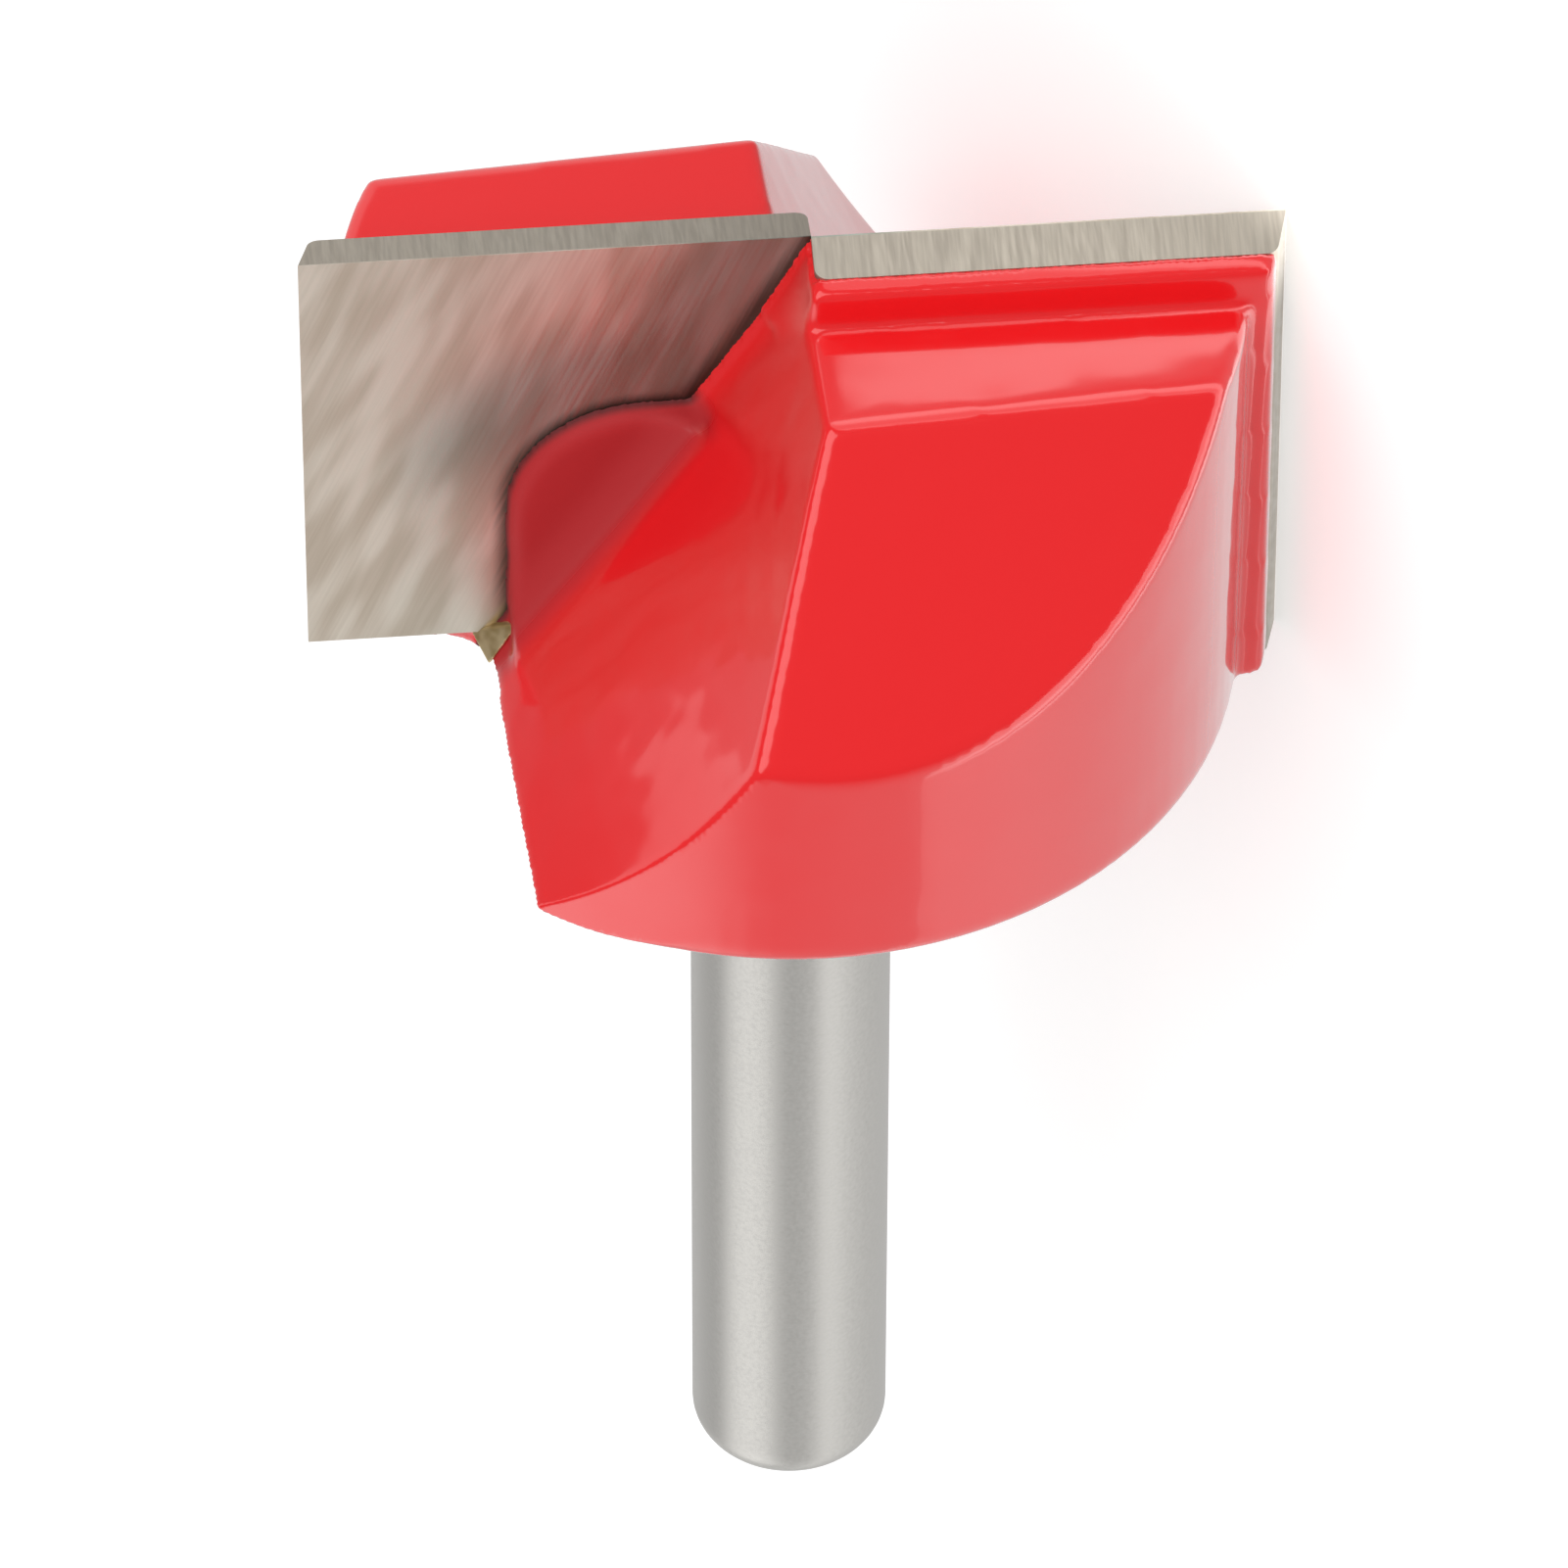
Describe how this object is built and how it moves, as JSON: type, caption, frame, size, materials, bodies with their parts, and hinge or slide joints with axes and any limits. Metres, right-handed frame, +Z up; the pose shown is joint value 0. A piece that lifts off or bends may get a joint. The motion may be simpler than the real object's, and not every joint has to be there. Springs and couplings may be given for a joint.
{
  "type": "surfacing router bit",
  "caption": "Wide flat-bottom router bit: a red painted head with brazed carbide tips on a plain cylindrical steel shank.",
  "frame": {"origin": "on the floor, under the middle of the bounding box of the bit as it lies at rest", "axes": "+Z up; +Y the way the shank points along the floor, away from the cutting end; the shank's axis slopes 1.3 degrees down towards its free end"},
  "size_m": [0.0276, 0.053, 0.026],
  "materials": {
    "body_steel": "glossy red enamel on the head, the shank bare ground steel",
    "carbide": "ground, warm grey",
    "braze": "as flowed"
  },
  "bodies": {
    "root": {"cutter_body": "body_steel", "carbide_tip_a": "carbide", "carbide_tip_b": "carbide", "braze_seam_a": "braze", "braze_seam_b": "braze"}
  },
  "joints": []
}
